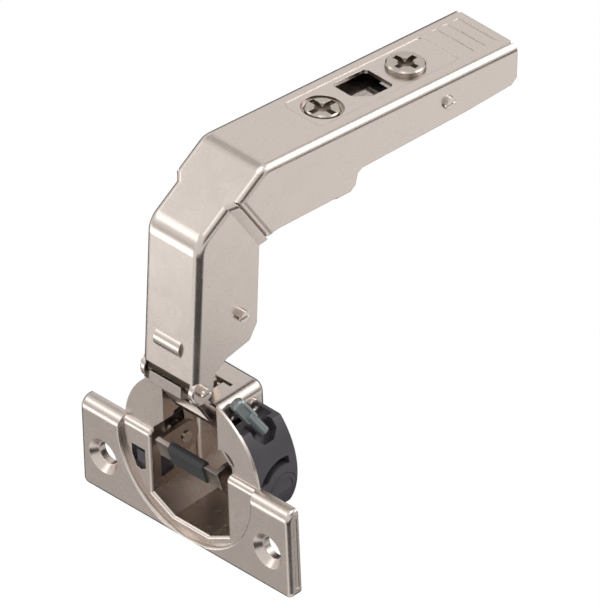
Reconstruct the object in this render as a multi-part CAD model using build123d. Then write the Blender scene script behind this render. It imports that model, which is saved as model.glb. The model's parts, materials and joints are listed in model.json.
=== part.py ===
from build123d import *
import os
from math import acos, atan2, cos, degrees, hypot, radians, sin

# Millimetres. X runs along the flange, Y into the door, Z up towards the arm. Sizes below are measured from the
# cup's centre on the door surface; at export everything moves up by screw_drop, so the origin is between the screws.

# Flange and cup sheet
screw_spacing = 45.0
screw_drop = 9.5
screw_hole_r = 2.4
sink_r = 3.85
skin = 1.0
flange_half = 28.5
flange_height = 3.0
flange_top = 2.1
flange_bottom = -18.6
top_round = 2.5
edge_round = 1.0
pan_r = 18.0
pan_front = -1.8
step_round = 0.55
rim_r = 18.3
seat_gap = 0.15
rim_t = 0.7

# Tub
bore_r = 17.1
neck_half = 7.5
neck_top = 15.6
mouth_half = 10.4
mouth_low = -12.7
keel_half = 4.8
keel_z = -15.6
wall = 0.8
tub_depth = 11.2
fold_r = 2.4

# Linkage pivots at rest, as (Y, Z)
arm_front = (-3.9, 22.1)
arm_middle = (7.3, 34.6)
cup_outer = (8.4, 12.4)
cup_inner = (3.8, 11.4)
lever_axis = (5.15, -1.4)
pin_r = 1.25
inner_pin_r = 1.1
run_gap = 0.05
link_half = 5.9
inner_half = 4.8
waist_half = 1.8
link_t = 1.2
head_r = 1.7
head_t = 1.0

# Arm, in its own frame: u along the mounting leg, v up the leg, from the front pin
open_tilt = 5.0
arm_t = 1.0
leg_half = 7.25
mount_half = 8.75
front_u = -2.45
back_u = 14.55
low_bend = (front_u, 34.5)
high_bend = (14.06, 46.4)
rear_u = 83.4
rear_top_v = 43.7
fold_out = 1.75
low_bend_r = 5.4
high_bend_r = 4.5
seam_a = 9.7
seam_b = 11.4

# Mounting leg fittings
side_screw_u = 38.5
side_head_r = 3.55
side_hole_r = 4.35
depth_cam_u = 61.3
depth_head_r = 4.0
cam_proud = 0.95
shank_r = 2.0
slide_travel = 2.5
stud_u, stud_v = 64.5, 38.9
carriage_half = 7.4
carriage_t = 1.1
carriage_u0, carriage_u1 = 35.0, 80.0
carriage_v1 = rear_top_v - 2.1
carriage_v0 = carriage_v1 - 6.6
catch_u, catch_v = 74.0, carriage_v1 - 4.2

os.makedirs("parts", exist_ok=True)


def bar(points, x0, x1):
    """Prism along X from a closed outline of (Y, Z) points."""
    face = make_face(Plane.YZ * Polyline(*points, close=True))
    return Pos(x0, 0, 0) * extrude(face, amount=x1 - x0, dir=(1, 0, 0))


def slab(points, y0, y1):
    """Prism along Y from a closed outline of (X, Z) points."""
    face = make_face(Polyline(*[(x, y0, z) for x, z in points], close=True))
    return extrude(face, amount=y1 - y0, dir=(0, 1, 0))


def block(x0, x1, y0, y1, z0, z1):
    return Pos((x0 + x1) / 2, (y0 + y1) / 2, (z0 + z1) / 2) * Box(x1 - x0, y1 - y0, z1 - z0)


def rod_x(at, r, x0, x1):
    return Pos((x0 + x1) / 2, at[0], at[1]) * Rot(0, 90, 0) * Cylinder(r, x1 - x0)


def rod_y(x, z, r, y0, y1):
    return Pos(x, (y0 + y1) / 2, z) * Rot(90, 0, 0) * Cylinder(r, y1 - y0)


def arm(u, v):
    """Arm frame to (Y, Z) at rest."""
    c, s = cos(radians(open_tilt)), sin(radians(open_tilt))
    return (arm_front[0] + u * c + v * s, arm_front[1] - u * s + v * c)


def arm_bar(points, x0, x1):
    return bar([arm(u, v) for u, v in points], x0, x1)


def save(shape, name):
    shape = shape.moved(Location((0, 0, screw_drop)))
    shape.label = name
    export_step(shape, f"parts/{name}.step")


# Cup body: flange with turned edges, recessed centre, rim crescents and tub, one pressed sheet
def flange_block(half, front, top, bottom, r_top, r_edge):
    """Flange solid with its front edges rounded, from a front plane back to the door surface."""
    b = block(-half, half, front, 0, bottom, top)
    b = fillet(b.edges().filter_by(Axis.Y).sort_by(Axis.Z)[:2], 1.4)
    front_edges = b.faces().sort_by(Axis.Y)[0].edges()
    upper = front_edges.filter_by(Axis.X).sort_by(Axis.Z)[-1:]
    b = fillet(upper, r_top)
    ends = b.edges().filter_by(Axis.Z).group_by(Axis.Y)[0]
    lower = b.faces().sort_by(Axis.Y)[0].edges().filter_by(Axis.X).sort_by(Axis.Z)[:1]
    return fillet(list(ends) + list(lower), r_edge)


ears = flange_block(flange_half, -flange_height, flange_top, flange_bottom, top_round, edge_round)
core = flange_block(flange_half, pan_front, flange_top, flange_bottom, 1.6, 0.5)
f = step_round
step_line = Polyline((pan_r, -flange_height + f), (pan_r, 20), (0, 20), (0, -20), (pan_r + f, -20), (pan_r + f, -flange_height))
step_arc = ThreePointArc((pan_r + f, -flange_height), (pan_r + f * (1 - cos(radians(45))), -flange_height + f * (1 - cos(radians(45)))),
                         (pan_r, -flange_height + f))
pan_tool = revolve(make_face([step_line, step_arc]), Axis.Y)
shell = (ears - pan_tool) + (core & rod_y(0, 0, pan_r, -20, 20))
inner_w = flange_half - skin
ears_in = block(-inner_w, inner_w, -flange_height + skin, 0, flange_bottom + skin, flange_top - skin)
ears_in = fillet(ears_in.faces().sort_by(Axis.Y)[0].edges().filter_by(Axis.X).sort_by(Axis.Z)[-1:], 1.5)
core_in = block(-inner_w, inner_w, pan_front + skin, 0, flange_bottom + skin, flange_top - skin)
shell -= (ears_in - rod_y(0, 0, pan_r + skin, -20, 20)) + (core_in & rod_y(0, 0, pan_r + skin, -20, 20))

for s in (-1, 1):
    shell -= Pos(s * flange_half, -0.95, (flange_top + flange_bottom) / 2) * Box(0.24, 0.9, flange_top - flange_bottom - 4)

rim = rod_y(0, 0, rim_r, -rim_t, 0) & block(-30, 30, -5, 5, -3.0, 30)
tub_line = [(-neck_half, neck_top), (neck_half, neck_top), (neck_half, 5.6), (mouth_half, 2.7),
            (mouth_half, mouth_low), (keel_half, keel_z), (-keel_half, keel_z), (-mouth_half, mouth_low),
            (-mouth_half, 2.7), (-neck_half, 5.6)]


def outline_grown(grow):
    """The tub's outline, moved out by grow."""
    g = grow
    return [(-neck_half - g, neck_top + g), (neck_half + g, neck_top + g), (neck_half + g, 5.6 + 0.4 * g),
            (mouth_half + g, 2.7 + 0.4 * g), (mouth_half + g, mouth_low - 0.45 * g), (keel_half + 0.2 * g, keel_z - g),
            (-keel_half - 0.2 * g, keel_z - g), (-mouth_half - g, mouth_low - 0.45 * g),
            (-mouth_half - g, 2.7 + 0.4 * g), (-neck_half - g, 5.6 + 0.4 * g)]


def tub_solid(grow, front, back, r):
    """Tub body with its two top corners and its back edge rounded."""
    b = slab(outline_grown(grow), front, back)
    b = fillet(b.edges().filter_by(Axis.Y).sort_by(Axis.Z)[-2:], r)
    floor = b.faces().sort_by(Axis.Y)[-1]
    return fillet(floor.edges(), r * 0.6)


tub_out = tub_solid(wall, -rim_t, tub_depth + wall, fold_r)
tub_in = tub_solid(0, -5.0, tub_depth, fold_r - wall)
mouth = slab([(-neck_half, 25), (neck_half, 25), (neck_half, 5.6), (mouth_half, 2.7), (mouth_half, mouth_low),
              (keel_half, keel_z), (-keel_half, keel_z), (-mouth_half, mouth_low), (-mouth_half, 2.7),
              (-neck_half, 5.6)], -6, 0.01)
pan_back = pan_front + skin
skirt = slab(outline_grown(wall), pan_front + 0.1, 0.2)
skirt &= core
cup = shell + rim + skirt
cup -= rod_y(0, neck_top + wall + 8.0, 8.6, -6, 0) & block(-neck_half - wall, neck_half + wall, -6, 0, neck_top + wall, 30)
cup += tub_out
cup -= mouth
cup -= tub_in
# Rounded fold around the opening; the seat on the door is kept outside the drilled bore and clear of the switch
lip = [e for e in cup.edges() if abs(e.center().Y - pan_front) < 1e-4 and abs(e.center().X) < mouth_half + 0.1
       and e.center().Z > keel_z - 0.1 and e.geom_type == GeomType.LINE]
cup = fillet(lip, 0.75)
cup -= rod_y(0, 0, bore_r + 0.25, -seat_gap, 0.05) + block(neck_half, 13.5, -seat_gap, 0.05, 12.5, 19) - tub_out
# Notch in the rim beside the crossbar's right end
cup -= rod_y(9.1, 3.95, 2.7, -6, 0.01)
for x in (-screw_spacing / 2, screw_spacing / 2):
    boss_h = flange_height - 0.1
    cup += Pos(x, -boss_h / 2, -screw_drop) * Rot(-90, 0, 0) * Cone(sink_r + skin, screw_hole_r + skin, boss_h)
    cup -= Pos(x, -flange_height + 0.75, -screw_drop) * Rot(-90, 0, 0) * Cone(sink_r, screw_hole_r + 0.3, 1.5)
    cup -= rod_y(x, -screw_drop, screw_hole_r, -6, 3)
slot = slab([(-15.6, -3.2), (-11.9, -3.2), (-11.9, -7.7), (-13.2, -8.5), (-14.4, -8.3), (-15.5, -5.8)], -6, -0.1)
cup -= slot
# Windows of the left wall, through which the side cover is seen
cup -= bar([(2.2, 4.6), (5.2, 5.0), (7.2, 3.4), (7.8, 0.2), (7.0, -3.8), (3.4, -4.2), (2.4, 0.5)], -mouth_half - 2.1, -mouth_half + 0.4)
cup -= bar([(1.9, 5.0), (2.2, 6.4), (5.2, 6.8), (7.4, 5.4), (7.4, 4.0), (1.9, 4.0)], -12.5, -7.0)
cup -= bar([(0.9, -5.4), (0.9, -10.6), (4.6, -10.2), (6.5, -6.5)], -mouth_half - 2.1, -mouth_half + 0.4)
# Bores of the two link pins, the damper shaft, the stud and the switch pin
cup -= rod_x(cup_outer, pin_r + 0.01, -10, 10)
cup -= rod_x(cup_inner, inner_pin_r + 0.01, -10, 10)
shaft_r = 1.6
cup -= rod_x(lever_axis, shaft_r + run_gap, mouth_half - 1.6, mouth_half + 2.6)
cup -= rod_x(lever_axis, pin_r + 0.01, -mouth_half - 2.6, -mouth_half + 1.6)
switch_axis = (3.8, 14.5)
cup -= rod_x(switch_axis, 0.81, 7, 9)
# Opening of the tub's top wall, through which the inner link passes
cup -= block(-waist_half - 0.8, waist_half + 0.8, -6, 6.8, neck_top - 0.5, neck_top + wall + 1)
cup -= block(-4.6, 4.6, 6.1, 6.8, neck_top - 0.5, neck_top + wall + 1)
save(cup, "cup_body")

# Plastic housing of the damper, right of the tub, and the cover left of it
tub_full = tub_solid(wall, -rim_t, tub_depth + wall, fold_r)
housing_front, housing_back = 0.2, 11.2
chamber_r = 4.6
chamber_x0 = mouth_half + wall + 0.7
chamber_x1 = chamber_x0 + 3.5
side = rod_y(0, 0, bore_r, housing_front, housing_back) & block(7.0, 30, -1, 20, -9.0, 11.2)
side = fillet(side.edges().filter_by(Axis.Y).sort_by(Axis.Z)[-1:], 1.0)
housing = side - tub_full
housing -= rod_x(lever_axis, chamber_r + 0.1, chamber_x0 - 0.1, chamber_x1 + 0.1)
housing -= rod_x(lever_axis, shaft_r + 0.2, mouth_half - 0.4, mouth_half + 2.6)
cap_at = (7.4, -3.0)
groove = rod_x(cap_at, 7.2, 14.6, 20.0) - rod_x(cap_at, 5.6, 14.0, 21.0)
housing -= groove & block(10, 25, -5, 9.3, 0.5, 12)
housing -= rod_x(cap_at, 3.6, 16.0, 20.0)
housing -= rod_x(cup_outer, 2.3, neck_half, 11.5) + rod_x(cup_inner, 1.8, neck_half, 9.2)
well = Plane(origin=(11.4, 6.0, 8.9), x_dir=(0, 1, 0), z_dir=(0.74, 0, 0.67))
housing -= well * extrude(RegularPolygon(3.2, 8, rotation=22.5), amount=9)
save(housing, "damper_housing")
cap = rod_x(cap_at, 3.5, 16.0, 17.3) & rod_y(0, 0, bore_r, housing_front, 14)
cap = cap - rod_x(cap_at, 2.6, 16.7, 18)
save(cap, "damper_cap")

left = rod_y(0, 0, bore_r, housing_front, 10.4) & block(-30, -7.0, -1, 20, -11.0, 9.0)
left = left - tub_full
left = left - rod_x(lever_axis, pin_r + 0.9, -13, -10)
left = left + block(-14.6, -12.3, -1.3, 0.5, -7.2, -4.4) + block(-16.2, -11.3, -0.75, -0.3, -9.3, -2.6)
save(left, "side_cover")


# Pins of the cup, each with a riveted head on the outside of both walls
def riveted(at, r, half, r_head=head_r, t_head=head_t):
    p = rod_x(at, r, -half - t_head, half + t_head)
    for s in (-1, 1):
        a, b = sorted((s * half, s * (half + t_head)))
        h = rod_x(at, r_head, a, b)
        p += h
    return p


neck_out = neck_half + wall
outer_pin = riveted(cup_outer, pin_r, neck_out, 1.6, 0.7)
outer_pin -= rod_x(cup_outer, 0.8, neck_out + 0.4, neck_out + 2)
save(outer_pin, "outer_cup_pin")
inner_pin = riveted(cup_inner, inner_pin_r, neck_out, 1.5, 0.2)
save(inner_pin, "inner_cup_pin")
cheek_out = mouth_half - 2.0
cheek_in = cheek_out - 1.0
stud = rod_x(lever_axis, pin_r, -mouth_half - wall - 0.6, -cheek_in + 0.3)
stud += rod_x(lever_axis, 1.9, -mouth_half - wall - 0.6, -mouth_half - wall)
stud += rod_x(lever_axis, 2.0, -mouth_half, -cheek_out - 0.2)
save(stud, "lever_stud")
for name, s in (("closing_spring_left", -1), ("closing_spring_right", 1)):
    ring = Pos(s * 6.8, cup_outer[0], cup_outer[1]) * Rot(0, 90, 0) * Torus(1.75, 0.4)
    tail = Pos(s * 6.8, cup_outer[0] + 1.8, (cup_outer[1] + 5.4) / 2) * Cylinder(0.36, cup_outer[1] - 4.6)
    save(ring + tail, name)

# Soft-close switch: a cast lever beside the tub, on its own pin
switch_top, switch_end = Vector(9.7, 2.8, 16.5), Vector(12.9, 6.5, 9.5)
switch_way = (switch_end - switch_top).normalized()
switch_face = Vector(0.884, -0.387, 0.261)
switch_face = (switch_face - switch_way * switch_face.dot(switch_way)).normalized()
pad_long, pad_wide, pad_thick = 6.0, 3.0, 2.0
pad_at = Plane(origin=switch_top + switch_way * (pad_long / 2 - 0.6), x_dir=switch_way, z_dir=switch_face)
pad = fillet(Box(pad_long, pad_wide, pad_thick).edges().filter_by(Axis.Z), 1.2)
pad = chamfer(pad.faces().sort_by(Axis.Z)[-1].edges(), 0.4)
pad -= Pos(0, 0, pad_thick / 2) * fillet(Box(3.6, 1.5, 0.6).edges().filter_by(Axis.Z), 0.7)
stem_long = (switch_end - switch_top).length
stem = Plane(origin=switch_top + switch_way * (stem_long / 2 + 1.6), z_dir=switch_way)
switch = pad_at * pad + stem * Cylinder(1.25, stem_long - 3.2)
pin_end = switch_top.X + 0.6
switch -= rod_x(switch_axis, 0.8 + run_gap, 5, pin_end)
save(switch, "soft_close_switch")
save(rod_x(switch_axis, 0.8, neck_half + 0.1, pin_end - 0.1), "switch_pin")

# Damper lever: two cheeks and a crossbar, with the sleeve on it and the rotor on its right cheek
bar_top, bar_low, bar_t = (-2.25, 1.45), (-0.95, -3.0), 1.0
run = Vector(bar_low[0] - bar_top[0], bar_low[1] - bar_top[1])
along = run.normalized()
back = Vector(-along.Y, along.X)


def on_bar(s, d):
    """Point s down the crossbar and d behind its front face."""
    p = Vector(*bar_top) + along * s + back * d
    return (p.X, p.Y)


bar_len = run.length
cheek = [bar_top, (0.4, 1.9), (4.4, 2.0), (5.15, 2.0), (5.15, -4.7), (3.2, -4.4), bar_low]
lever = bar([on_bar(0, 0), on_bar(bar_len, 0), on_bar(bar_len, bar_t), on_bar(0, bar_t)], -cheek_out, cheek_out)
for a, b in ((-cheek_out, -cheek_in), (cheek_in, cheek_out)):
    lever += bar(cheek, a, b) + rod_x(lever_axis, 3.35, a, b)
lever -= rod_x(lever_axis, pin_r + run_gap, -10, 0)
lever -= rod_x(lever_axis, shaft_r + 0.01, 5, 10)
save(lever, "damper_lever")
sleeve_t = 0.5
sleeve = bar([on_bar(-sleeve_t, 0.3), on_bar(0.2, -sleeve_t), on_bar(bar_len - 0.3, -sleeve_t), on_bar(bar_len + 0.2, 0.2),
              on_bar(bar_len + 0.2, bar_t + 0.2), on_bar(bar_len - 0.3, bar_t + sleeve_t), on_bar(0, bar_t + sleeve_t),
              on_bar(-sleeve_t, bar_t + 0.1)], -4.7, 4.7) - lever
save(sleeve, "bumper_sleeve")
rotor = rod_x(lever_axis, shaft_r, cheek_in - 0.4, chamber_x1) + rod_x(lever_axis, 2.2, cheek_in - 0.8, cheek_in)
rotor += rod_x(lever_axis, chamber_r, chamber_x0, chamber_x1)
rotor += rod_x(lever_axis, 2.2, cheek_out, mouth_half - 0.2)
save(rotor, "damper_rotor")

# Outer link: a hooked band that passes under the inner pin, rolled around both of its pins
reach = Vector(arm_front[0] - cup_inner[0], arm_front[1] - cup_inner[1])
hook_out = 3.3
roll_r = 2.05
way = degrees(atan2(reach.Y, reach.X))
normal = way + degrees(acos((roll_r - hook_out) / reach.length))


def ray(at, angle, length):
    return (at[0] + length * cos(radians(angle)), at[1] + length * sin(radians(angle)))


to_outer = degrees(atan2(cup_outer[1] - cup_inner[1], cup_outer[0] - cup_inner[0]))
sector = [cup_inner] + [ray(cup_inner, a, 20) for a in (normal, 250, 290, 330, 360 + to_outer)]
hook = rod_x(cup_inner, hook_out, -link_half, link_half) - rod_x(cup_inner, hook_out - link_t, -9, 9)
hook = hook & bar(sector, -9, 9)
strap = bar([ray(cup_inner, normal, hook_out), ray(arm_front, normal, roll_r),
             ray(arm_front, normal, roll_r - link_t), ray(cup_inner, normal, hook_out - link_t)],
            -link_half, link_half)
outer_link = hook + strap + rod_x(arm_front, roll_r, -link_half, link_half)
outer_link += rod_x(cup_outer, 2.4, -link_half, link_half)
apron = bar([(arm_front[0] - 2.85, arm_front[1] - 1.9), (arm_front[0] - 2.65, arm_front[1] + 0.7),
             (arm_front[0] - 1.75, arm_front[1] + 0.7), (arm_front[0] - 1.2, arm_front[1] - 1.2),
             (arm_front[0] - 0.6, arm_front[1] - 3.2)], -4.7, 4.0)
outer_link += fillet(apron.edges().filter_by(Axis.Y).sort_by(Axis.Z)[-2:], 0.4)
# Window in the strap, between its rolled front end and its hook
down = Vector(*cup_inner) - Vector(*arm_front)
near, far = (tuple(Vector(*arm_front) + down * t)[:2] for t in (0.27, 0.83))
outer_link -= bar([ray(near, normal, 0.4), ray(far, normal, 0.4), ray(far, normal, 5), ray(near, normal, 5)], -4.6, 4.3)
outer_link -= rod_x(arm_front, pin_r + run_gap, -9, 9)
outer_link -= rod_x(cup_outer, pin_r + run_gap, -9, 9)
save(outer_link, "outer_link")

# Inner link: its upper eye is open around the arm's middle pin, because the loop is opened there
eye_r = pin_r + 0.85
inner_low, inner_high = 1.8, eye_r + 1.1
span = Vector(arm_middle[0] - cup_inner[0], arm_middle[1] - cup_inner[1])
lean = degrees(atan2(span.Y, span.X))
spread = degrees(acos((inner_low - inner_high) / span.length))
web = [ray(cup_inner, lean + spread, inner_low), ray(arm_middle, lean + spread, inner_high),
       ray(arm_middle, lean - spread, inner_high), ray(cup_inner, lean - spread, inner_low)]
inner_link = bar(web, -inner_half, inner_half) + rod_x(cup_inner, inner_low, -inner_half, inner_half)
inner_link += rod_x(arm_middle, inner_high, -inner_half, inner_half)
inner_link -= rod_x(cup_inner, inner_pin_r + run_gap, -9, 9) + rod_x(arm_middle, eye_r, -9, 9)
cut_low, cut_high = 2.7, 14.0
unit, flat = span.normalized(), Vector(-span.Y, span.X).normalized()


def on_link(s, d):
    p = Vector(*cup_inner) + unit * s + flat * d
    return (p.X, p.Y)


waist = [on_link(cut_low, 6), on_link(cut_high, 6), on_link(cut_high, -6), on_link(cut_low, -6)]
inner_link -= bar(waist, -9, -waist_half) + bar(waist, waist_half, 9)
inner_link -= bar([on_link(cut_low, 0.75), on_link(cut_high + 2, 0.75), on_link(cut_high + 2, 6), on_link(cut_low, 6)], -9, 9)
inner_link -= bar([on_link(cut_low, -0.75), on_link(cut_high + 2, -0.75), on_link(cut_high + 2, -6), on_link(cut_low, -6)],
                  -9, 9)
save(inner_link, "inner_link")

# Hinge arm: one folded sheet
diag = Vector(high_bend[0] - low_bend[0], high_bend[1] - low_bend[1]).normalized()
drop = Vector(diag.Y, -diag.X)
top_slope = (rear_top_v - high_bend[1]) / (rear_u - high_bend[0])


def on_diag(s, d):
    """Point s along the diagonal from the lower bend, and d inside its outer face."""
    p = Vector(*low_bend) + diag * s + drop * d
    return (p.X, p.Y)


def inset(a, b, c, d):
    """Corner b of the path a-b-c, moved inwards by d on both sides."""
    u1 = Vector(b[0] - a[0], b[1] - a[1]).normalized()
    u2 = Vector(c[0] - b[0], c[1] - b[1]).normalized()
    n1, n2 = Vector(u1.Y, -u1.X), Vector(u2.Y, -u2.X)
    m = (n1 + n2) * (d / (1 + n1.dot(n2)))
    return (b[0] + m.X, b[1] + m.Y)


seam_low = 15.6
mount_low = 14.6
nose_r = 3.05
knuckle_r = 2.75
leg_low = [(nose_r, -6), (nose_r, 1.4), (4.1, 3.3), (6.5, 4.8), (12.7, 6.3), (back_u, 9.5)]


def leg_outer():
    pts = [(front_u, -6), low_bend, on_diag(seam_a, 0), on_diag(seam_a, seam_low), (back_u, 26.8)] + leg_low[::-1]
    s = arm_bar(pts, -leg_half, leg_half)
    bend = s.edges().filter_by(Axis.X).sort_by_distance(Vector(0, *arm(*low_bend)))[0]
    s = fillet(bend, low_bend_r)
    web_faces = [f for f in s.faces() if web_side(f)]
    return round_sides(s, web_faces, leg_half)


def web_side(face):
    n, c = face.normal_at(), face.center()
    return abs(n.X) < 0.1 and n.Y * cos(radians(40)) - n.Z * sin(radians(40)) < -0.3 and c.Z > 0


def round_sides(s, faces, half):
    """Rounds the long folds where the web faces meet both side walls."""
    picked = []
    for e in s.edges():
        c = e.center()
        if abs(abs(c.X) - half) < 1e-4 and any(f.distance_to(c) < 1e-4 for f in faces):
            if abs(e.position_at(0).X - e.position_at(1).X) < 1e-4:
                picked.append(e)
    return fillet(picked, fold_out)


def mount_outer():
    pts = [on_diag(seam_b, 0), high_bend, (rear_u, rear_top_v), (rear_u, 36.2), (82.0, 35.0), (70.3, 34.45),
           (41.1, 34.3), (39.9, 33.6), (39.3, 31.0), (38.0, 30.1), (32.8, 30.1), (32.6, 30.4), (18.3, 30.5),
           (16.8, 30.3), on_diag(seam_b, mount_low)]
    s = arm_bar(pts, -mount_half, mount_half)
    bend = s.edges().filter_by(Axis.X).sort_by_distance(Vector(0, *arm(*high_bend)))[0]
    s = fillet(bend, high_bend_r)
    web_faces = [f for f in s.faces() if web_side(f)]
    return round_sides(s, web_faces, mount_half)


def seam_face(s, half, low, inside, r):
    """Cross-section of the arm at the seam, on the plane across the diagonal."""
    y0, z0 = arm(*on_diag(s, 0))
    y1, z1 = arm(*on_diag(s, 1))
    pl = Plane(origin=(0, y0, z0), x_dir=(1, 0, 0), z_dir=Vector(1, 0, 0).cross(Vector(0, y1 - y0, z1 - z0)))
    pts = [(-half, inside), (half, inside), (half, low), (-half, low)]
    face = make_face(Polyline(*pts, close=True))
    if r:
        face = fillet(face.vertices().sort_by(Axis.Y)[:2], r)
    return pl * face


joggle = loft([seam_face(seam_a, leg_half, seam_low, 0, fold_out), seam_face(seam_b, mount_half, mount_low, 0, fold_out)])
body = leg_outer() + joggle + mount_outer()
leg_in = [(front_u + arm_t, -9), inset((front_u, 0), low_bend, high_bend, arm_t), on_diag(seam_a, arm_t),
          on_diag(seam_a, 40), (back_u + 20, 20), (back_u + 20, -9)]
lw, mw = leg_half - arm_t, mount_half - arm_t
mount_in = [on_diag(seam_b, arm_t), inset(low_bend, high_bend, (rear_u, rear_top_v), arm_t),
            (rear_u + 5, rear_top_v + 5 * top_slope - arm_t), (rear_u + 5, 20), (14, 20), on_diag(seam_b, 30)]
body -= arm_bar(leg_in, -lw, lw)
body -= loft([seam_face(seam_a, lw, 30, arm_t, 0), seam_face(seam_b, mw, 30, arm_t, 0)])
body -= arm_bar(mount_in, -mw, mw)
# Front of the leg: the web stops above the knuckle, and both walls end in a nose around the front pin
web_end = 2.2
body -= arm_bar([(-9, -9), (-9, web_end), (front_u + arm_t + 0.2, web_end), (front_u + arm_t + 0.2, -9)],
                 -link_half - 0.15, link_half + 0.15)
nose = [(-12, 0), (20, 0), (20, -12), (-12, -12)]
below = arm_bar(nose, -20, 20) - rod_x(arm_front, nose_r, -20, 20)
body -= below
for s in (-1, 1):
    knuckle = rod_x(arm_front, knuckle_r, *sorted((s * (link_half + 0.15), s * leg_half)))
    body += fillet(knuckle.edges().filter_by(GeomType.CIRCLE).sort_by(Axis.X)[::s][-1:], 0.4)


def top_point(u, lift=0.0):
    """(Y, Z) on the mounting leg's top face, lift above it."""
    return arm(u, high_bend[1] + top_slope * (u - high_bend[0]) + lift)


def top_plane(u, lift=0.0):
    """Plane on the top face at u: x along X, y along the leg, z out of it."""
    y0, z0 = top_point(u)
    y1, z1 = top_point(u + 1)
    n = Vector(1, 0, 0).cross(Vector(0, y1 - y0, z1 - z0)).normalized()
    o = Vector(0, y0, z0) + n * lift
    return Plane(origin=o, x_dir=(1, 0, 0), z_dir=n)


def on_top(u, lift0, lift1, r):
    pl = top_plane(u)
    return pl * Pos(0, 0, (lift0 + lift1) / 2) * Cylinder(r, lift1 - lift0)


neck_r = depth_head_r
body -= on_top(side_screw_u, -3, 3, side_hole_r)
body -= on_top(depth_cam_u, -3, 3, neck_r + run_gap)
window = [(-4.6, 45.6), (-4.5, 54.9), (3.4, 54.9), (3.4, 48.8), (0.8, 45.6)]
hole = top_plane(50) * Pos(0, 0, -1.5) * extrude(
    fillet(make_face(Polyline(*[(x, u - 50) for x, u in window], close=True)).vertices(), 1.1), amount=3)
body -= hole
press_t = 0.15
tray = [(-5.6, 33.0), (-5.6, 71.5), (5.0, 71.5), (5.0, 33.0)]
tray_cut = top_plane(50) * Pos(0, 0, -press_t) * extrude(
    fillet(make_face(Polyline(*[(x, u - 50) for x, u in tray], close=True)).vertices(), 1.5), amount=3)
body -= tray_cut
for u in (75.4, 78.4, 81.4):
    body -= top_plane(u) * Pos(-0.4, 0, 0.35) * Box(10.4, 0.3, 1.0)
    body -= top_plane(u) * Pos(-5.45, -0.7, 0.35) * Box(0.3, 1.5, 1.0)
for s in (-1, 1):
    body -= top_plane(rear_u) * Pos(s * (mount_half - 1.5), 0, 0) * Box(0.9, 1.1, 4)
# Stamped rib on the leg's front face
rib_half, rib_low, rib_high, rib_out = 3.5, 7.1, 10.6, 0.75
rib_chord = (rib_high - rib_low) / 2
rib_r = (rib_chord ** 2 + rib_out ** 2) / (2 * rib_out)
rib = rod_x(arm(front_u - rib_out + rib_r, rib_low + rib_chord), rib_r, -rib_half, rib_half)
body += rib & arm_bar([(front_u - 1, rib_low - 1), (front_u - 1, rib_high + 1), (front_u + 0.3, rib_high + 1),
                       (front_u + 0.3, rib_low - 1)], -rib_half, rib_half)
# Pin holes
body -= rod_x(arm_front, pin_r + 0.01, -20, 20)
body -= rod_x(arm_middle, pin_r + 0.01, -20, 20)
stud_at = arm(stud_u, stud_v)
body -= rod_x(stud_at, 1.41, -20, 20)
save(body, "hinge_arm")


def notched(at, r, x0, x1):
    """Pin end with a cross notch."""
    p = rod_x(at, r, x0, x1)
    return p - block(x1 - 0.5, x1 + 1, at[0] - 3, at[0] + 3, at[1] - 0.25, at[1] + 0.25)


front_pin = rod_x(arm_front, pin_r, -leg_half - 0.5, leg_half + 0.4) + rod_x(arm_front, 2.1, -leg_half - 0.5, -leg_half)
front_pin += notched(arm_front, pin_r, leg_half, leg_half + 1.4)
save(front_pin, "arm_front_pin")
middle_pin = rod_x(arm_middle, pin_r, -leg_half - 0.9, leg_half + 0.4) + rod_x(arm_middle, 1.8, -leg_half - 0.9, -leg_half)
middle_pin += notched(arm_middle, pin_r, leg_half, leg_half + 1.3)
save(middle_pin, "arm_middle_pin")
for name, s in (("rear_stud_left", -1), ("rear_stud_right", 1)):
    a, b = sorted((s * (mount_half - arm_t), s * (mount_half + 0.5)))
    c, d = sorted((s * (mount_half + 0.4), s * (mount_half + 1.2)))
    stub = rod_x(stud_at, 1.4, a, b) + rod_x(stud_at, 1.25, *sorted((s * mount_half, s * (mount_half + 0.8))))
    save(stub - block(c, d, stud_at[0] - 3, stud_at[0] + 3, stud_at[1] - 0.25, stud_at[1] + 0.25), name)

# Carriage: the inner channel that clips on the mounting plate
cu0, cu1 = carriage_u0, carriage_u1
carriage = arm_bar([(cu0, carriage_v0), (cu0, carriage_v1), (cu1, carriage_v1), (cu1, carriage_v0)],
                   -carriage_half, carriage_half)
carriage -= arm_bar([(cu0 - 5, carriage_v0 - 5), (cu0 - 5, carriage_v1 - carriage_t),
                     (cu1 + 5, carriage_v1 - carriage_t), (cu1 + 5, carriage_v0 - 5)],
                    -carriage_half + carriage_t, carriage_half - carriage_t)


def shank_slot(u):
    w, h = shank_r + 0.3, slide_travel + shank_r + 0.3
    return arm_bar([(u - h, 38), (u - h, 50), (u + h, 50), (u + h, 38)], -w, w)


carriage -= shank_slot(side_screw_u) + shank_slot(depth_cam_u)
carriage -= arm_bar([(47.0, 38), (47.0, 50), (54.0, 50), (54.0, 38)], -2.6, 3.2)
catch_at = arm(catch_u, catch_v)
carriage -= rod_x(catch_at, 1.01, -20, 20)
save(carriage, "carriage")
release_pin = rod_x(catch_at, 1.0, -carriage_half, carriage_half)
save(release_pin, "release_pin")
release = arm_bar([(catch_u - 2.2, catch_v - 1.9), (catch_u - 2.2, catch_v + 1.4), (catch_u + 1.6, catch_v + 1.9),
                   (catch_u + 7.6, catch_v + 0.6), (catch_u + 8.6, catch_v - 1.2), (catch_u + 7.8, catch_v - 1.6),
                   (catch_u + 1.4, catch_v - 0.6), (catch_u - 0.6, catch_v - 3.2), (catch_u - 2.2, catch_v - 3.2)], -5.4, 5.4)
release -= rod_x(catch_at, 1.0 + run_gap, -9, 9)
release -= rod_x(catch_at, 2.1, -1.6, 1.6)
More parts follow.
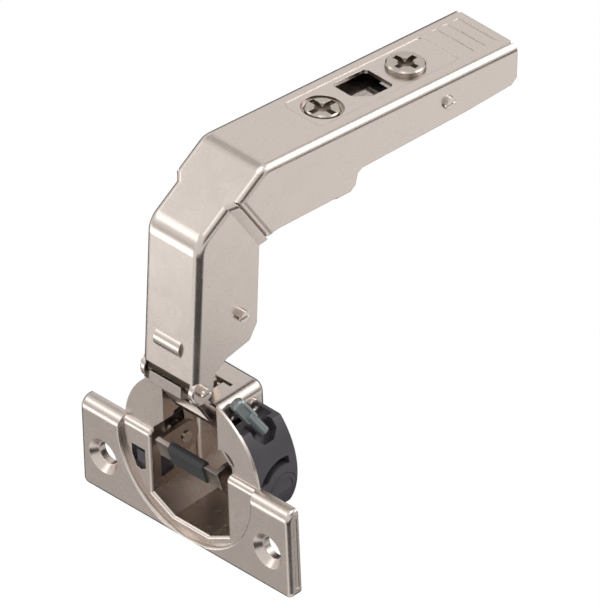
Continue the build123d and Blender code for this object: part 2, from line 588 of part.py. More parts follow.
release -= arm_bar([(catch_u - 9, catch_v - 9), (catch_u - 9, catch_v + 9), (catch_u, catch_v + 9), (catch_u, catch_v - 9)], -1.6, 1.6)
save(release, "release_lever")
coil = Pos(0, catch_at[0], catch_at[1]) * Rot(0, 90, 0) * Torus(1.5, 0.38)
for x in (-0.7, 0.7):
    coil += Pos(x, catch_at[0], catch_at[1]) * Rot(0, 90, 0) * Torus(1.5, 0.42)
save(coil, "release_spring")

# Threaded bush under the top face, the side screw in it, and the depth cam
slot_wide = 1.3
bush = on_top(side_screw_u, -2.6, -arm_t, 5.6) - on_top(side_screw_u, -9, 9, shank_r + run_gap)
bush -= on_top(side_screw_u, -1.35, 5, side_head_r + 0.25)
save(bush, "thread_bush")


def cross(u, lift, size, deep, turn):
    """Cross recess on the top face."""
    arms = Box(size, slot_wide, 2 * deep) + Box(slot_wide, size, 2 * deep)
    return top_plane(u, lift) * Rot(0, 0, turn) * (arms + Pos(0, 0, -deep * 0.65) * Cone(0.5, 1.7, deep * 1.3))


def screw_head(u, low, high, r):
    """Round head on the top face with its rim chamfered."""
    b = on_top(u, low, high, r)
    rim_edge = b.edges().filter_by(GeomType.CIRCLE).sort_by_distance(top_plane(u, high + 20).origin)[:1]
    return chamfer(rim_edge, 0.3)


side_screw = screw_head(side_screw_u, -1.3, -0.05, side_head_r) + on_top(side_screw_u, -5.2, -1.0, shank_r)
side_screw -= cross(side_screw_u, -0.05, 6.5, 0.95, 0)
save(side_screw, "side_adjust_screw")
cam = screw_head(depth_cam_u, -2.2, cam_proud, neck_r) + on_top(depth_cam_u, -4.0, -2.0, shank_r)
for lift in (0.0, 0.35):
    cam -= on_top(depth_cam_u, lift, lift + 0.15, 9) - on_top(depth_cam_u, lift - 1, lift + 1, neck_r - 0.2)
cam -= cross(depth_cam_u, cam_proud, 5.7, 1.1, 6)
save(cam, "depth_adjust_cam")
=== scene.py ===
"""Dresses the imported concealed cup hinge: plated sheet, turned pins, wound springs, moulded plastic, stage."""

import json
import math

import bpy
import numpy as np
from bpy.props import FloatProperty, FloatVectorProperty, IntProperty, PointerProperty
from bpy.types import Operator, Panel, PropertyGroup
from mathutils import Matrix, Vector


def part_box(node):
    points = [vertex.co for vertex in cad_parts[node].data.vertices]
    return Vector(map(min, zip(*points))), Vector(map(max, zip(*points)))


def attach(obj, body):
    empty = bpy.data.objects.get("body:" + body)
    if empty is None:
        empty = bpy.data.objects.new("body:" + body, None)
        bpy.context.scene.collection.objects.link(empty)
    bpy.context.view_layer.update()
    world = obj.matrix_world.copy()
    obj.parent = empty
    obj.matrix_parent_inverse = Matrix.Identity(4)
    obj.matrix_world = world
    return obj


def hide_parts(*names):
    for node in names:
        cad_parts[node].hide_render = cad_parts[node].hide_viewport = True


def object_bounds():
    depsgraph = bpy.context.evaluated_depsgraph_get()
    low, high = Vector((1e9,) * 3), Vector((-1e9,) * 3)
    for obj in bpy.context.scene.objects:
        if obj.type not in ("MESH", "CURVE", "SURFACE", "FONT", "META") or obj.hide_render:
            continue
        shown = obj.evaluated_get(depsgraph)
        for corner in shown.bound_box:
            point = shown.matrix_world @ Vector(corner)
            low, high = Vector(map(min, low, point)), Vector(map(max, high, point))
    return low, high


bl_info = {
    "name": "Concealed cup hinge",
    "version": (1, 0, 0),
    "blender": (4, 5, 0),
    "location": "View3D > Sidebar > Hinge",
    "description": "Finishes and small parts of a concealed cup hinge",
    "category": "Object",
}

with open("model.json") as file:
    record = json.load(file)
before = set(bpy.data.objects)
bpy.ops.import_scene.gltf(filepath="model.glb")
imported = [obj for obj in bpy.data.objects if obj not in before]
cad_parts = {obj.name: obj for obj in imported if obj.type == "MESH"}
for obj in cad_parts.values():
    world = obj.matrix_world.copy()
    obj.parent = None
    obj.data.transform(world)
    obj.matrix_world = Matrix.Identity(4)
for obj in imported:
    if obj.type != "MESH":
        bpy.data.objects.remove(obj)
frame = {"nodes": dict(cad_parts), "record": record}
cad_box = [list(v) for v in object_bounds()]
nodes = frame["nodes"]
joints = {j["name"]: j for j in frame["record"]["behaviour"]["joints"]}

MM = 0.001
WHITE = (1, 1, 1, 1)

# Sockets of the Mix node when it mixes colours
FACTOR, COLOUR_A, COLOUR_B, MIXED = 0, 6, 7, 2
# Nearly all of a noise texture lies between these values
NOISE_RANGE = {"From Min": 0.3, "From Max": 0.7}

# Spacing of the patterns. The plating's grain, the tool rings, the moulded texture and the cast grain are finer on the
# real parts, and are drawn as coarse as they need to be to show at a fifth of a millimetre per pixel.
PLATING_CLOUD = 7 * MM
TOOL_RING = 0.6 * MM
POLISH_SPOT = 1.2 * MM
MOULD_TEXTURE = 0.3 * MM
MOULD_FLOW = 6 * MM
CAST_GRAIN = 0.4 * MM
# The next two space the uneven painted shade on the roll of the outer link and in the screw recesses
ROLL_SHADE_PATCHES = 1.5 * MM
RECESS_SHADE_PATCHES = 0.9 * MM

# Height of the finest relief, and the radius that the shading gives to sharp edges
GRAIN_HEIGHT = 0.03 * MM
RING_HEIGHT = 0.02 * MM
SHEET_EDGE = 0.18 * MM
TURNED_EDGE = 0.12 * MM
MOULDED_EDGE = 0.25 * MM
EDGE_SAMPLES = 4

# Painted shade covers the roll of the outer link, standing in for the shadow of the narrow gap it lies in, and ends
# just outside it
SHADED_ROLL_RADIUS = 2.08 * MM
ROLL_SHADE_FADE = 0.03 * MM

# Painted shade in the punched recess, measured from the middle of the screw head's top: where it starts to darken and
# dull, where it is wholly dark and dull, and how far out it can reach
RECESS_SHADE_START = -0.12 * MM
RECESS_SHADE_FULL = -0.22 * MM
RECESS_SHADE_REACH = 3.1 * MM
RECESS_ROUGHNESS = 0.5

# Screw, the joint that it turns on, and the height of its head's top over that joint's point
SCREWS = (
    ("side_adjust_screw", "side_screw_turn", -0.05 * MM),
    ("depth_adjust_cam", "depth_cam_turn", 0.95 * MM),
)

# Points along the springs' wire, and round it
ARC_POINTS = 48
RUN_POINTS = 12
TURN_POINTS = 30
WIRE_SIDES = 12
# A direction that no stretch of wire runs along
ASKEW = (0.34, 0.62, 0.71)

HINGE_MIDDLE = Vector((0, 0.03, 0.03))
FLOOR_SIZE = (6, 6)
# Share of plain white in the floor, where the camera or a reflection sees it
FLOOR_WHITE = 0.85

# Direction from the middle of the hinge, distance, width and height in metres, brightness
SOFTBOXES = (
    ("softbox above", (0.1, -0.05, 0.8), 0.8, (0.45, 0.45), 1.8),
    ("softbox behind right", (0.42, 0.7, 0.57), 0.7, (0.5, 0.32), 2.6),
    ("softbox front left, low", (-0.577, -0.78, -0.235), 0.7, (0.5, 0.2), 1.75),
    ("softbox front left, high", (-0.577, -0.53, 0.62), 0.7, (0.5, 0.17), 1.5),
)

# Board, point of the hinge that reflects the card, direction and distance from there, width and height
CARDS = (
    ("flag right of the leg", "black", (0.007, -0.004, 0.045), (0.792, -0.257, -0.553), 0.24, (0.42, 0.15)),
    ("flag right of the diagonal", "black", (0.008, 0.01, 0.06), (0.92, -0.03, 0.38), 0.3, (0.17, 0.17)),
    ("card right of the flange", "grey", (0.0285, -0.002, 0), (0.577, 0.547, -0.606), 0.12, (0.06, 0.05)),
    ("card front left", "grey", (0, 0.03, 0.03), (-0.577, -0.81, 0.14), 0.6, (0.4, 0.1)),
    ("card below front left", "grey", (0, 0, 0.004), (-0.577, -0.547, -0.606), 0.25, (0.26, 0.14)),
    ("card behind left", "grey", (0, 0.05, 0.07), (-0.2, 0.72, 0.66), 0.5, (0.14, 0.4)),
    ("flag right of the arm", "black", (0.0087, 0.05, 0.064), (0.766, 0.6, -0.17), 0.3, (0.2, 0.09)),
    ("flag behind", "black", (0, 0.03, 0.03), (-0.577, 0.547, -0.606), 0.16, (0.44, 0.44)),
    ("flag above the bend", "grey", (0, 0.014, 0.066), (-0.577, 0.266, 0.772), 0.5, (0.26, 0.2)),
)

# The photograph is an orthographic view. Its right and up directions and its middle, in the frame of the CAD
PICTURE_HEIGHT = 608
PIXELS_PER_MM = 5.160
PICTURE_RIGHT = Vector((0.70711, 0.70619, -0.03602))
PICTURE_UP = Vector((-0.40825, 0.44932, 0.79464))
PICTURE_MIDDLE = Vector((-0.09, 30.12, 29.99)) * MM
CAMERA_DISTANCE = 1.2
CAMERA_REACH = 20


def linear(hexa):
    """sRGB hex colour as linear RGB."""
    c = np.array([int(hexa[i:i + 2], 16) / 255 for i in (1, 3, 5)])
    return tuple(np.where(c <= 0.04045, c / 12.92, ((c + 0.055) / 1.055) ** 2.4).tolist())


def colour(name, hexa, about):
    """Colour property with an sRGB hex colour as its default."""
    return FloatVectorProperty(name=name, description=about, subtype="COLOR", size=3, min=0, max=1,
                               default=linear(hexa))


class SheetSettings(PropertyGroup):
    cup: colour("Cup sheet", "#cfc4bc", "Nickel plating of the cup and its flange")
    arm: colour("Arm sheet", "#d3c8c0", "Nickel plating of the arm")
    link: colour("Links", "#b9aea7", "Nickel plating of links, carriage and lever")
    # Colour of the painted shade on the roll of the outer link, standing in for the shadow of its narrow gap
    roll_shade: colour("Roll shade", "#4a423c", "Painted shade on the rolled end of the outer link")
    grain: FloatProperty(name="Grain", description="Spacing of the plating's fine grain", default=0.25 * MM,
                         min=0.05 * MM, max=2 * MM, subtype="DISTANCE", unit="LENGTH")
    roughness: FloatProperty(name="Roughness", description="Roughness of the satin plating", default=0.27,
                             min=0, max=1, subtype="FACTOR")


class SmallPartSettings(PropertyGroup):
    pin: colour("Pins", "#cfc6c0", "Bright plating of rivets and studs")
    screw: colour("Screws", "#bcb3a9", "Bright plating of the adjusting screws")
    # Colour of the painted shade inside the screws' cross recesses
    recess: colour("Screw recess shade", "#7d7066", "Painted shade in the punched recess of the screws")
    plastic: colour("Damper plastic", "#403c41", "Moulded acetal of the damper")
    bumper: colour("Bumper", "#2c2b2c", "Soft plastic of the bumper sleeve")
    switch: colour("Switch", "#8f9696", "Cast lever of the soft-close switch")
    spring: colour("Springs", "#aaa29c", "Drawn wire of the springs")
    wire: FloatProperty(name="Spring wire", description="Wire thickness of the closing springs", default=0.8 * MM,
                        min=0.3 * MM, max=2 * MM, subtype="DISTANCE", unit="LENGTH")
    turns: IntProperty(name="Spring turns", description="Turns of the release spring", default=5, min=1, max=12)


class StageSettings(PropertyGroup):
    floor_drop: FloatProperty(name="Floor drop", description="Floor below the hinge, which hangs from a door",
                              default=0.3, min=0, max=1, subtype="DISTANCE", unit="LENGTH")
    key: FloatProperty(name="Softboxes", description="Brightness of the softboxes", default=1.0, min=0, max=20)
    sky: FloatProperty(name="Surrounding light", description="Strength of the white surroundings", default=0.92,
                       min=0, max=3)


def fill(tree, node, sockets):
    """Sets a node's sockets to values, or links them to other nodes."""
    for key, value in sockets.items():
        if isinstance(value, bpy.types.NodeSocket):
            tree.links.new(value, node.inputs[key])
        else:
            node.inputs[key].default_value = value


def add(tree, kind, sockets=None, **settings):
    """Adds a node with its settings and fills its sockets."""
    node = tree.nodes.new(kind)
    for key, value in settings.items():
        setattr(node, key, value)
    fill(tree, node, sockets or {})
    return node


def start(name):
    """New material with its tree, shader and object coordinates."""
    m = bpy.data.materials.new(name)
    m.use_nodes = True
    t = m.node_tree
    t.nodes.clear()
    shader = add(t, "ShaderNodeBsdfPrincipled")
    add(t, "ShaderNodeOutputMaterial", {"Surface": shader.outputs["BSDF"]})
    place = add(t, "ShaderNodeTexCoord").outputs["Object"]
    return m, t, shader, place


def reopen(m):
    """Tree, shader and object coordinates of a material that start has made."""
    kinds = {n.type: n for n in m.node_tree.nodes}
    return m.node_tree, kinds["BSDF_PRINCIPLED"], kinds["TEX_COORD"].outputs["Object"]


def tones(rgb, dark, light):
    """A darker and a lighter tone of one colour, as the two colours of a mix."""
    return {COLOUR_A: (*(c * dark for c in rgb), 1), COLOUR_B: (*(min(1.0, c * light) for c in rgb), 1)}


def plated_steel(name, rgb, grain, rough):
    """Pressed steel with satin nickel plating: warm grey metal with a fine grain and faint clouds, and edges that
    catch the light as a thin bright line."""
    m, t, shader, place = start(name)
    fine = add(t, "ShaderNodeTexNoise", {"Vector": place, "Scale": 1 / grain, "Detail": 3.0, "Roughness": 0.6})
    cloud = add(t, "ShaderNodeTexNoise", {"Vector": place, "Scale": 1 / PLATING_CLOUD, "Detail": 4.0,
                                          "Roughness": 0.55})
    tone = add(t, "ShaderNodeMix", {FACTOR: cloud.outputs["Fac"], **tones(rgb, 0.95, 1.05)}, data_type="RGBA")
    speck = add(t, "ShaderNodeMapRange", {"Value": fine.outputs["Fac"], **NOISE_RANGE,
                                          "To Min": 0.94, "To Max": 1.05})
    base = add(t, "ShaderNodeVectorMath", {0: tone.outputs[MIXED], "Scale": speck.outputs["Result"]},
               operation="SCALE")
    gloss = add(t, "ShaderNodeMapRange", {"Value": cloud.outputs["Fac"], **NOISE_RANGE,
                                          "To Min": rough * 0.88, "To Max": rough * 1.12})
    edge = add(t, "ShaderNodeBevel", {"Radius": SHEET_EDGE}, samples=EDGE_SAMPLES)
    bump = add(t, "ShaderNodeBump", {"Height": fine.outputs["Fac"], "Strength": 0.1, "Distance": GRAIN_HEIGHT,
                                     "Normal": edge.outputs["Normal"]})
    fill(t, shader, {"Base Color": base.outputs[0], "Metallic": 1.0, "Roughness": gloss.outputs["Result"],
                     "Normal": bump.outputs["Normal"]})
    return m


def turned_steel(name, rgb, rough):
    """Turned or drawn steel, nickel plated: bright metal with small spots and with faint tool rings across X, which is
    the way the pins run."""
    m, t, shader, place = start(name)
    ring = add(t, "ShaderNodeTexWave", {"Vector": place, "Scale": 1 / TOOL_RING, "Distortion": 2.0, "Detail": 2.0},
               bands_direction="X")
    spot = add(t, "ShaderNodeTexNoise", {"Vector": place, "Scale": 1 / POLISH_SPOT, "Detail": 3.0})
    tone = add(t, "ShaderNodeMix", {FACTOR: spot.outputs["Fac"], **tones(rgb, 0.9, 1.08)}, data_type="RGBA")
    edge = add(t, "ShaderNodeBevel", {"Radius": TURNED_EDGE}, samples=EDGE_SAMPLES)
    bump = add(t, "ShaderNodeBump", {"Height": ring.outputs["Fac"], "Strength": 0.06, "Distance": RING_HEIGHT,
                                     "Normal": edge.outputs["Normal"]})
    fill(t, shader, {"Base Color": tone.outputs[MIXED], "Metallic": 1.0, "Roughness": rough,
                     "Normal": bump.outputs["Normal"]})
    return m


def paint_shade(m, mask, rgb, spacing):
    """Paints uneven shade over a metal where the mask is 1: dark, with the metal's gloss."""
    t, shader, place = reopen(m)
    uneven = add(t, "ShaderNodeTexNoise", {"Vector": place, "Scale": 1 / spacing, "Detail": 2.0})
    shade_patches = add(t, "ShaderNodeMix", {FACTOR: uneven.outputs["Fac"], **tones(rgb, 0.7, 1.3)}, data_type="RGBA")
    unshaded = shader.inputs["Base Color"].links[0].from_socket
    tone = add(t, "ShaderNodeMix", {FACTOR: mask, COLOUR_A: unshaded, COLOUR_B: shade_patches.outputs[MIXED]},
               data_type="RGBA")
    fill(t, shader, {"Base Color": tone.outputs[MIXED]})


def shaded_roll_steel(name, rgb, grain, rough, roll_shade, axle):
    """Plated steel with painted shade round an axle that runs along X: the roll there is nearly black, as in the
    shadow of its narrow gap.
    """
    m = plated_steel(name, rgb, grain, rough)
    t, _, place = reopen(m)
    off = add(t, "ShaderNodeVectorMath", {0: place, 1: tuple(axle)}, operation="SUBTRACT").outputs[0]
    flat = add(t, "ShaderNodeVectorMath", {0: off, 1: (0, 1, 1)}, operation="MULTIPLY").outputs[0]
    radius = add(t, "ShaderNodeVectorMath", {0: flat}, operation="LENGTH").outputs["Value"]
    roll_shaded = add(t, "ShaderNodeMapRange", {"Value": radius, "From Min": SHADED_ROLL_RADIUS + ROLL_SHADE_FADE,
                                            "From Max": SHADED_ROLL_RADIUS})
    paint_shade(m, roll_shaded.outputs["Result"], roll_shade, ROLL_SHADE_PATCHES)
    return m


def recess_shaded_steel(name, rgb, recess, head, axis, rough):
    """Cold headed screw of plated steel whose punched cross recess, below the head's top, is dull and darkened with
    painted shade.
    """
    m = turned_steel(name, rgb, rough)
    t, shader, place = reopen(m)
    off = add(t, "ShaderNodeVectorMath", {0: place, 1: tuple(head)}, operation="SUBTRACT").outputs[0]
    height = add(t, "ShaderNodeVectorMath", {0: off, 1: tuple(axis)}, operation="DOT_PRODUCT").outputs["Value"]
    reach = add(t, "ShaderNodeVectorMath", {0: off}, operation="LENGTH").outputs["Value"]
    below = add(t, "ShaderNodeMapRange", {"Value": height, "From Min": RECESS_SHADE_START, "From Max": RECESS_SHADE_FULL})
    inside = add(t, "ShaderNodeMath", {0: reach, 1: RECESS_SHADE_REACH}, operation="LESS_THAN")
    # The mask of the recess, where painted shade goes
    punched = add(t, "ShaderNodeMath", {0: below.outputs["Result"], 1: inside.outputs[0]}, operation="MULTIPLY")
    paint_shade(m, punched.outputs[0], recess, RECESS_SHADE_PATCHES)
    gloss = add(t, "ShaderNodeMapRange", {"Value": punched.outputs[0], "To Min": rough, "To Max": RECESS_ROUGHNESS})
    fill(t, shader, {"Roughness": gloss.outputs["Result"]})
    return m


def moulded_plastic(name, rgb, rough, texture):
    """Injection moulded plastic: dark, with a fine spark-eroded texture and a soft sheen that follows its flow."""
    m, t, shader, place = start(name)
    spark = add(t, "ShaderNodeTexNoise", {"Vector": place, "Scale": 1 / MOULD_TEXTURE, "Detail": 2.0,
                                          "Roughness": 0.5})
    flow = add(t, "ShaderNodeTexNoise", {"Vector": place, "Scale": 1 / MOULD_FLOW, "Detail": 3.0})
    tone = add(t, "ShaderNodeMix", {FACTOR: flow.outputs["Fac"], **tones(rgb, 0.9, 1.12)}, data_type="RGBA")
    gloss = add(t, "ShaderNodeMapRange", {"Value": flow.outputs["Fac"], "To Min": rough - 0.05,
                                          "To Max": rough + 0.05})
    edge = add(t, "ShaderNodeBevel", {"Radius": MOULDED_EDGE}, samples=EDGE_SAMPLES)
    bump = add(t, "ShaderNodeBump", {"Height": spark.outputs["Fac"], "Strength": texture, "Distance": GRAIN_HEIGHT,
                                     "Normal": edge.outputs["Normal"]})
    fill(t, shader, {"Base Color": tone.outputs[MIXED], "Roughness": gloss.outputs["Result"], "IOR": 1.48,
                     "Normal": bump.outputs["Normal"]})
    return m


def die_cast_zinc(name, rgb, rough):
    """Die-cast zinc with a grey-green passivation: a dull, slightly grainy metal."""
    m, t, shader, place = start(name)
    sand = add(t, "ShaderNodeTexNoise", {"Vector": place, "Scale": 1 / CAST_GRAIN, "Detail": 3.0, "Roughness": 0.6})
    tone = add(t, "ShaderNodeMix", {FACTOR: sand.outputs["Fac"], **tones(rgb, 0.88, 1.1)}, data_type="RGBA")
    edge = add(t, "ShaderNodeBevel", {"Radius": MOULDED_EDGE}, samples=EDGE_SAMPLES)
    bump = add(t, "ShaderNodeBump", {"Height": sand.outputs["Fac"], "Strength": 0.1, "Distance": GRAIN_HEIGHT,
                                     "Normal": edge.outputs["Normal"]})
    fill(t, shader, {"Base Color": tone.outputs[MIXED], "Metallic": 0.75, "Roughness": rough,
                     "Normal": bump.outputs["Normal"]})
    return m


def coated_board(name, dark, light, patches, rough):
    """Painted or felted board of the stage: matt, its coat faintly uneven in so many patches to the metre."""
    m, t, shader, place = start(name)
    uneven = add(t, "ShaderNodeTexNoise", {"Vector": place, "Scale": patches, "Detail": 2.0})
    coat = add(t, "ShaderNodeMix", {FACTOR: uneven.outputs["Fac"], COLOUR_A: (*dark, 1), COLOUR_B: (*light, 1)},
               data_type="RGBA")
    fill(t, shader, {"Base Color": coat.outputs[MIXED], "Roughness": rough})
    return m


def dress(material, *names):
    """Gives CAD nodes one material."""
    for name in names:
        slots = nodes[name].data.materials
        if len(slots):
            for i in range(len(slots)):
                slots[i] = material
        else:
            slots.append(material)


def surface(name, grid, closed=False):
    """Mesh object from a grid of points P(u, v), one quad to a cell. Where it is closed, it is joined round in v, and
    one face caps each end, as on a tube."""
    nu, nv = grid.shape[:2]
    index = np.arange(nu * nv).reshape(nu, nv)
    a, b = np.meshgrid(np.arange(nu - 1), np.arange(nv if closed else nv - 1), indexing="ij")
    quads = np.stack([index[a, b], index[a + 1, b], index[a + 1, (b + 1) % nv], index[a, (b + 1) % nv]], -1)
    faces = quads.reshape(-1, 4).tolist()
    smooth = [True] * len(faces)
    if closed:
        faces += [index[0].tolist(), index[-1][::-1].tolist()]
        smooth += [False, False]
    mesh = bpy.data.meshes.new(name)
    mesh.from_pydata(grid.reshape(-1, 3).tolist(), [], faces)
    mesh.polygons.foreach_set("use_smooth", smooth)
    mesh.update()
    obj = bpy.data.objects.new(name, mesh)
    bpy.context.scene.collection.objects.link(obj)
    return obj


def board(name, middle, across, high, size):
    """Flat rectangle: P(u, v) = middle + u times across + v times high, for u and v from minus to plus half its
    width and height."""
    u, v = np.meshgrid([-size[0] / 2, size[0] / 2], [-size[1] / 2, size[1] / 2], indexing="ij")
    return surface(name, np.array(middle) + u[..., None] * np.array(across) + v[..., None] * np.array(high))


def tube(name, path, radius):
    """Round wire: a circle of the given radius carried along the path, kept square to it at each point."""
    ahead = np.gradient(path, axis=0)
    ahead /= np.linalg.norm(ahead, axis=1, keepdims=True)
    side = np.cross(ahead, ASKEW)
    side /= np.linalg.norm(side, axis=1, keepdims=True)
    up = np.cross(side, ahead)
    t = np.linspace(0, 2 * math.pi, WIRE_SIDES, endpoint=False)[None, :, None]
    grid = path[:, None, :] + radius * (np.cos(t) * side[:, None, :] + np.sin(t) * up[:, None, :])
    return surface(name, grid, closed=True)


def closing_spring_path(lo, hi, r):
    """Wire of a closing spring in a box, square to X: y = middle + R cos a and z = top - R sin a round the pin, from
    low in front over the pin to its back, then straight down."""
    mid = (lo + hi) / 2
    ring = (hi.y - lo.y) / 2 - r
    top = hi.z - ring - r
    a = np.linspace(-math.pi * 1.25, 0, ARC_POINTS)
    arc = np.stack([np.full_like(a, mid.x), mid.y + ring * np.cos(a), top - ring * np.sin(a)], 1)
    fall = np.array([0, 0, lo.z + r - top])
    run = arc[-1] + np.linspace(0, 1, RUN_POINTS)[1:, None] * fall
    return np.concatenate([arc, run])


def release_spring_path(lo, hi, r, turns):
    """Wire of the release spring in a box, a helix along X: y and z go round a circle, middle + R cos a and
    middle + R sin a, while x runs evenly from end to end."""
    mid = (lo + hi) / 2
    ring = (hi.y - lo.y) / 2 - r
    a = np.linspace(0, 2 * math.pi * turns, TURN_POINTS * turns)
    x = np.linspace(lo.x + r, hi.x - r, len(a))
    return np.stack([x, mid.y + ring * np.cos(a), mid.z + ring * np.sin(a)], 1)


class HINGE_OT_sheets(Operator):
    """Plated finish of the pressed sheet parts"""
    bl_idname = "hinge.sheets"
    bl_label = "Sheet parts"

    def execute(self, context):
        s = context.scene.hinge_sheet
        plating = "satin nickel plated steel, "
        dress(plated_steel(plating + "cup", s.cup, s.grain, s.roughness), "cup_body")
        dress(plated_steel(plating + "arm", s.arm, s.grain, s.roughness), "hinge_arm")
        dress(plated_steel(plating + "links", s.link, s.grain, s.roughness),
              "inner_link", "carriage", "damper_lever", "thread_bush")
        # The roll of the outer link gets painted shade
        dress(shaded_roll_steel(plating + "roll with painted shade", s.link, s.grain, s.roughness, s.roll_shade,
                            joints["arm_swing"]["pos_m"]), "outer_link")
        return {"FINISHED"}


class HINGE_OT_pins(Operator):
    """Bright finish of rivets, studs and screws"""
    bl_idname = "hinge.pins"
    bl_label = "Pins and screws"

    def execute(self, context):
        s = context.scene.hinge_small
        dress(turned_steel("turned steel, bright nickel", s.pin, rough=0.16),
              "outer_cup_pin", "inner_cup_pin", "lever_stud", "switch_pin", "arm_front_pin", "arm_middle_pin",
              "rear_stud_left", "rear_stud_right", "release_pin")
        for node, joint, lift in SCREWS:
            axis = Vector(joints[joint]["axis"])
            head = Vector(joints[joint]["pos_m"]) + axis * lift
            # Each screw's material paints shade into its recess
            name = "cold headed steel, bright nickel, " + node.replace("_", " ")
            dress(recess_shaded_steel(name, s.screw, s.recess, head, axis, rough=0.2), node)
        return {"FINISHED"}


class HINGE_OT_plastics(Operator):
    """Moulded parts of the damper, its bumper and the cover"""
    bl_idname = "hinge.plastics"
    bl_label = "Damper plastics"

    def execute(self, context):
        s = context.scene.hinge_small
        dress(moulded_plastic("moulded acetal, dark grey", s.plastic, rough=0.42, texture=0.12),
              "damper_housing", "damper_cap", "side_cover", "damper_rotor")
        dress(moulded_plastic("moulded soft polyurethane, dark grey", s.bumper, rough=0.5, texture=0.08),
              "bumper_sleeve")
        return {"FINISHED"}


class HINGE_OT_castings(Operator):
    """Cast soft-close switch and release lever"""
    bl_idname = "hinge.castings"
    bl_label = "Castings"

    def execute(self, context):
        s = context.scene.hinge_small
        dress(die_cast_zinc("die cast zinc, passivated", s.switch, rough=0.3), "soft_close_switch", "release_lever")
        return {"FINISHED"}


class HINGE_OT_springs(Operator):
    """Wound wire springs on the outer cup pin and in the release lever"""
    bl_idname = "hinge.springs"
    bl_label = "Springs"

    def execute(self, context):
        s = context.scene.hinge_small
        wire = turned_steel("drawn spring wire, bright", s.spring, rough=0.25)
        pieces = []
        for side in ("left", "right"):
            node = "closing_spring_" + side
            path = closing_spring_path(*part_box(node), s.wire / 2)
            pieces.append((tube("wire_" + node, path, s.wire / 2), node, "cup"))
        lo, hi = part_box("release_spring")
        # At this radius the turns just touch, so the wire is a little thinner
        r = (hi.x - lo.x) / (2 * s.turns + 2)
        path = release_spring_path(lo, hi, r, s.turns)
        pieces.append((tube("wire_release_spring", path, r * 0.9), "release_spring", "carriage"))
        for piece, node, body in pieces:
            piece.data.materials.append(wire)
            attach(piece, body)
            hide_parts(node)
        return {"FINISHED"}


def softbox(name, toward, distance, size, brightness):
    """Area light seen from the hinge in one direction, with a brightness that doesn't depend on its size."""
    light = bpy.data.lights.new(name, "AREA")
    light.shape, light.size, light.size_y = "RECTANGLE", size[0], size[1]
    light.energy = brightness * math.pi * size[0] * size[1]
    way = Vector(toward).normalized()
    obj = bpy.data.objects.new(name, light)
    obj.location = HINGE_MIDDLE + way * distance
    obj.rotation_mode = "QUATERNION"
    obj.rotation_quaternion = (-way).to_track_quat("-Z", "Y")
    bpy.context.scene.collection.objects.link(obj)


def card(name, seen_from, toward, distance, size, material):
    """Dark or grey card for bright metal to reflect: it faces the hinge, and only reflections see it."""
    way = Vector(toward).normalized()
    across = way.cross(Vector((0, 0, 1))).normalized()
    obj = board(name, Vector(seen_from) + way * distance, across, across.cross(way), size)
    obj.data.materials.append(material)
    obj.visible_camera = obj.visible_diffuse = obj.visible_shadow = False


def white_floor(height):
    """Matt white floor that is mostly plain white to the camera and in reflections, so that it reads as the
    photograph's background and still takes light and shade."""
    m = coated_board("matt white painted board", dark=(0.93, 0.93, 0.93), light=(0.95, 0.95, 0.95), patches=2.0,
                     rough=0.9)
    t, shader, _ = reopen(m)
    rays = add(t, "ShaderNodeLightPath")
    white = add(t, "ShaderNodeEmission", {"Color": WHITE, "Strength": 1.0})
    seen = add(t, "ShaderNodeMath", {0: rays.outputs["Is Camera Ray"], 1: rays.outputs["Is Glossy Ray"]},
               operation="MAXIMUM")
    share = add(t, "ShaderNodeMath", {0: seen.outputs[0], 1: FLOOR_WHITE}, operation="MULTIPLY")
    both = add(t, "ShaderNodeMixShader", {0: share.outputs[0], 1: shader.outputs["BSDF"],
                                          2: white.outputs["Emission"]})
    out = next(n for n in t.nodes if n.type == "OUTPUT_MATERIAL")
    fill(t, out, {"Surface": both.outputs[0]})
    floor = board("floor", (0, 0, height), (1, 0, 0), (0, 1, 0), FLOOR_SIZE)
    floor.data.materials.append(m)


def white_studio(strength):
    """World that is plain white to the camera and lights the hinge from all sides with the given strength."""
    world = bpy.data.worlds.new("white studio")
    bpy.context.scene.world = world
    world.use_nodes = True
    t = world.node_tree
    t.nodes.clear()
    rays = add(t, "ShaderNodeLightPath")
    backdrop = add(t, "ShaderNodeBackground", {"Color": WHITE, "Strength": 1.0})
    ambient = add(t, "ShaderNodeBackground", {"Color": WHITE, "Strength": strength})
    both = add(t, "ShaderNodeMixShader", {0: rays.outputs["Is Camera Ray"], 1: ambient.outputs[0],
                                          2: backdrop.outputs[0]})
    add(t, "ShaderNodeOutputWorld", {"Surface": both.outputs[0]})


def photograph_camera():
    """Camera with the photograph's direction, scale and middle."""
    camera = bpy.data.cameras.new("camera")
    camera.type = "ORTHO"
    camera.ortho_scale = PICTURE_HEIGHT / PIXELS_PER_MM * MM
    camera.clip_end = CAMERA_REACH
    back = PICTURE_RIGHT.cross(PICTURE_UP)
    turn = Matrix((PICTURE_RIGHT, PICTURE_UP, back)).transposed()
    obj = bpy.data.objects.new("camera", camera)
    obj.matrix_world = Matrix.Translation(PICTURE_MIDDLE + back * CAMERA_DISTANCE) @ turn.to_4x4()
    bpy.context.scene.collection.objects.link(obj)
    bpy.context.scene.camera = obj


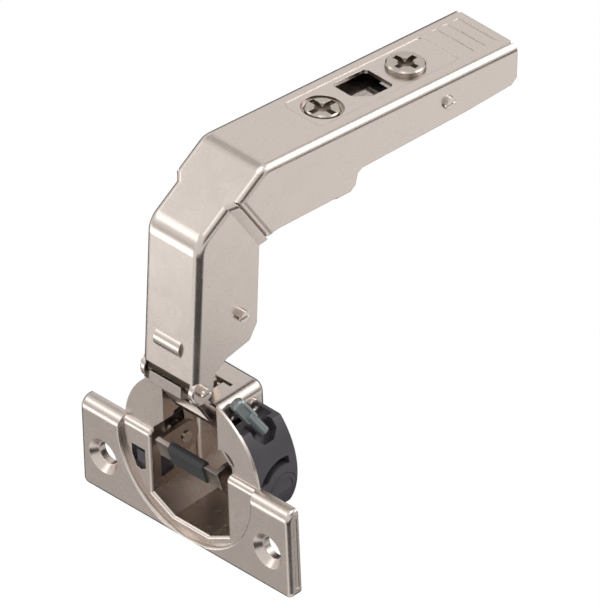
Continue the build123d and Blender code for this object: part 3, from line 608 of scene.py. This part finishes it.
class HINGE_OT_stage(Operator):
    """Pale floor, soft studio light and the camera"""
    bl_idname = "hinge.stage"
    bl_label = "Stage"

    def execute(self, context):
        s = context.scene.hinge_stage
        white_floor(cad_box[0][2] - s.floor_drop)
        white_studio(s.sky)
        for name, toward, distance, size, brightness in SOFTBOXES:
            softbox(name, toward, distance, size, s.key * brightness)
        boards = {
            "black": coated_board("black felt on card", dark=(0.02, 0.02, 0.02), light=(0.04, 0.038, 0.036),
                                  patches=400.0, rough=1.0),
            "grey": coated_board("grey painted card", dark=(0.46, 0.45, 0.44), light=(0.52, 0.51, 0.5),
                                 patches=60.0, rough=0.9),
        }
        for name, finish, seen_from, toward, distance, size in CARDS:
            card(name, seen_from, toward, distance, size, boards[finish])
        photograph_camera()
        context.scene.view_settings.view_transform = "Standard"
        return {"FINISHED"}


class HINGE_PT_parts(Panel):
    """Settings and steps of the hinge"""
    bl_idname = "HINGE_PT_parts"
    bl_label = "Concealed cup hinge"
    bl_space_type = "VIEW_3D"
    bl_region_type = "UI"
    bl_category = "Hinge"

    def draw(self, context):
        for name, kind in GROUPS.items():
            box = self.layout.box()
            for key in kind.__annotations__:
                box.prop(getattr(context.scene, name), key)
        for op in OPERATORS:
            self.layout.operator(op.bl_idname)


GROUPS = {"hinge_sheet": SheetSettings, "hinge_small": SmallPartSettings, "hinge_stage": StageSettings}
OPERATORS = (HINGE_OT_sheets, HINGE_OT_pins, HINGE_OT_plastics, HINGE_OT_castings, HINGE_OT_springs, HINGE_OT_stage)


def register():
    for cls in (*GROUPS.values(), *OPERATORS, HINGE_PT_parts):
        bpy.utils.register_class(cls)
    for name, cls in GROUPS.items():
        setattr(bpy.types.Scene, name, PointerProperty(type=cls))


def unregister():
    for name in GROUPS:
        delattr(bpy.types.Scene, name)
    for cls in (HINGE_PT_parts, *reversed(OPERATORS), *reversed(tuple(GROUPS.values()))):
        bpy.utils.unregister_class(cls)


def main():
    register()
    bpy.ops.hinge.sheets()
    bpy.ops.hinge.pins()
    bpy.ops.hinge.plastics()
    bpy.ops.hinge.castings()
    bpy.ops.hinge.springs()
    bpy.ops.hinge.stage()


if __name__ == "__main__":
    main()
